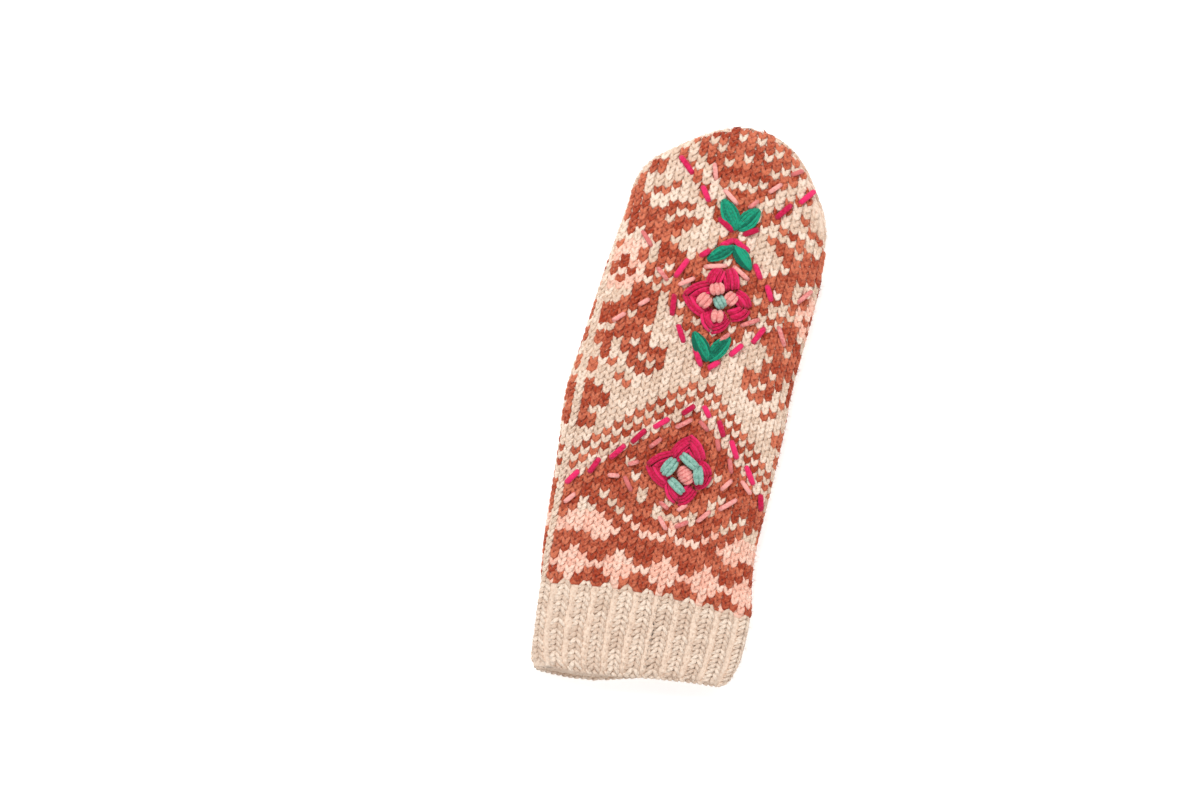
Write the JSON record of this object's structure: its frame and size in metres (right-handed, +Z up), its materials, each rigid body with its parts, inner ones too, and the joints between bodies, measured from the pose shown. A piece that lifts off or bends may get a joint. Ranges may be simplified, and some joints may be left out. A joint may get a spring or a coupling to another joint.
{
  "type": "mitten",
  "caption": "Hand-knitted wool mitten for the right hand, with a ribbed cuff, two-colour patterned hand, plain thumb and raised flower embroidery on the back.",
  "frame": {"origin": "middle of the mitten's own box, on the surface that it lies on", "axes": "+Y from the cuff to the fingertips, +X to the little-finger side, +Z up out of the back of the hand"},
  "size_m": [0.11, 0.2724, 0.0298],
  "materials": {
    "colourwork_wool": "rust and cream stranded wool knitting, slightly fuzzy",
    "cream_wool": "cream wool knitting, slightly fuzzy",
    "magenta_yarn": "satin-stitched wool yarn",
    "pink_yarn": "wrapped wool yarn",
    "aqua_yarn": "wrapped wool yarn",
    "green_yarn": "satin-stitched wool yarn"
  },
  "bodies": {
    "root": {"hand": "colourwork_wool", "ribbed_cuff": "cream_wool", "thumb": "cream_wool", "upper_petal_fingertip": "magenta_yarn", "upper_knot_fingertip": "pink_yarn", "lower_petal_fingertip": "magenta_yarn", "lower_bar_fingertip": "aqua_yarn", "upper_petal_thumb_side": "magenta_yarn", "upper_knot_thumb_side": "pink_yarn", "lower_petal_thumb_side": "magenta_yarn", "lower_bar_thumb_side": "aqua_yarn", "upper_petal_cuff_side": "magenta_yarn", "upper_knot_cuff_side": "pink_yarn", "lower_petal_cuff_side": "magenta_yarn", "lower_bar_cuff_side": "aqua_yarn", "upper_petal_outer_side": "magenta_yarn", "upper_knot_outer_side": "pink_yarn", "lower_petal_outer_side": "magenta_yarn", "lower_bar_outer_side": "aqua_yarn", "upper_eye": "aqua_yarn", "lower_middle": "pink_yarn", "top_leaf_left": "green_yarn", "top_leaf_right": "green_yarn", "middle_leaf_left": "green_yarn", "middle_leaf_right": "green_yarn", "low_leaf_left": "green_yarn", "low_leaf_right": "green_yarn"}
  },
  "joints": []
}
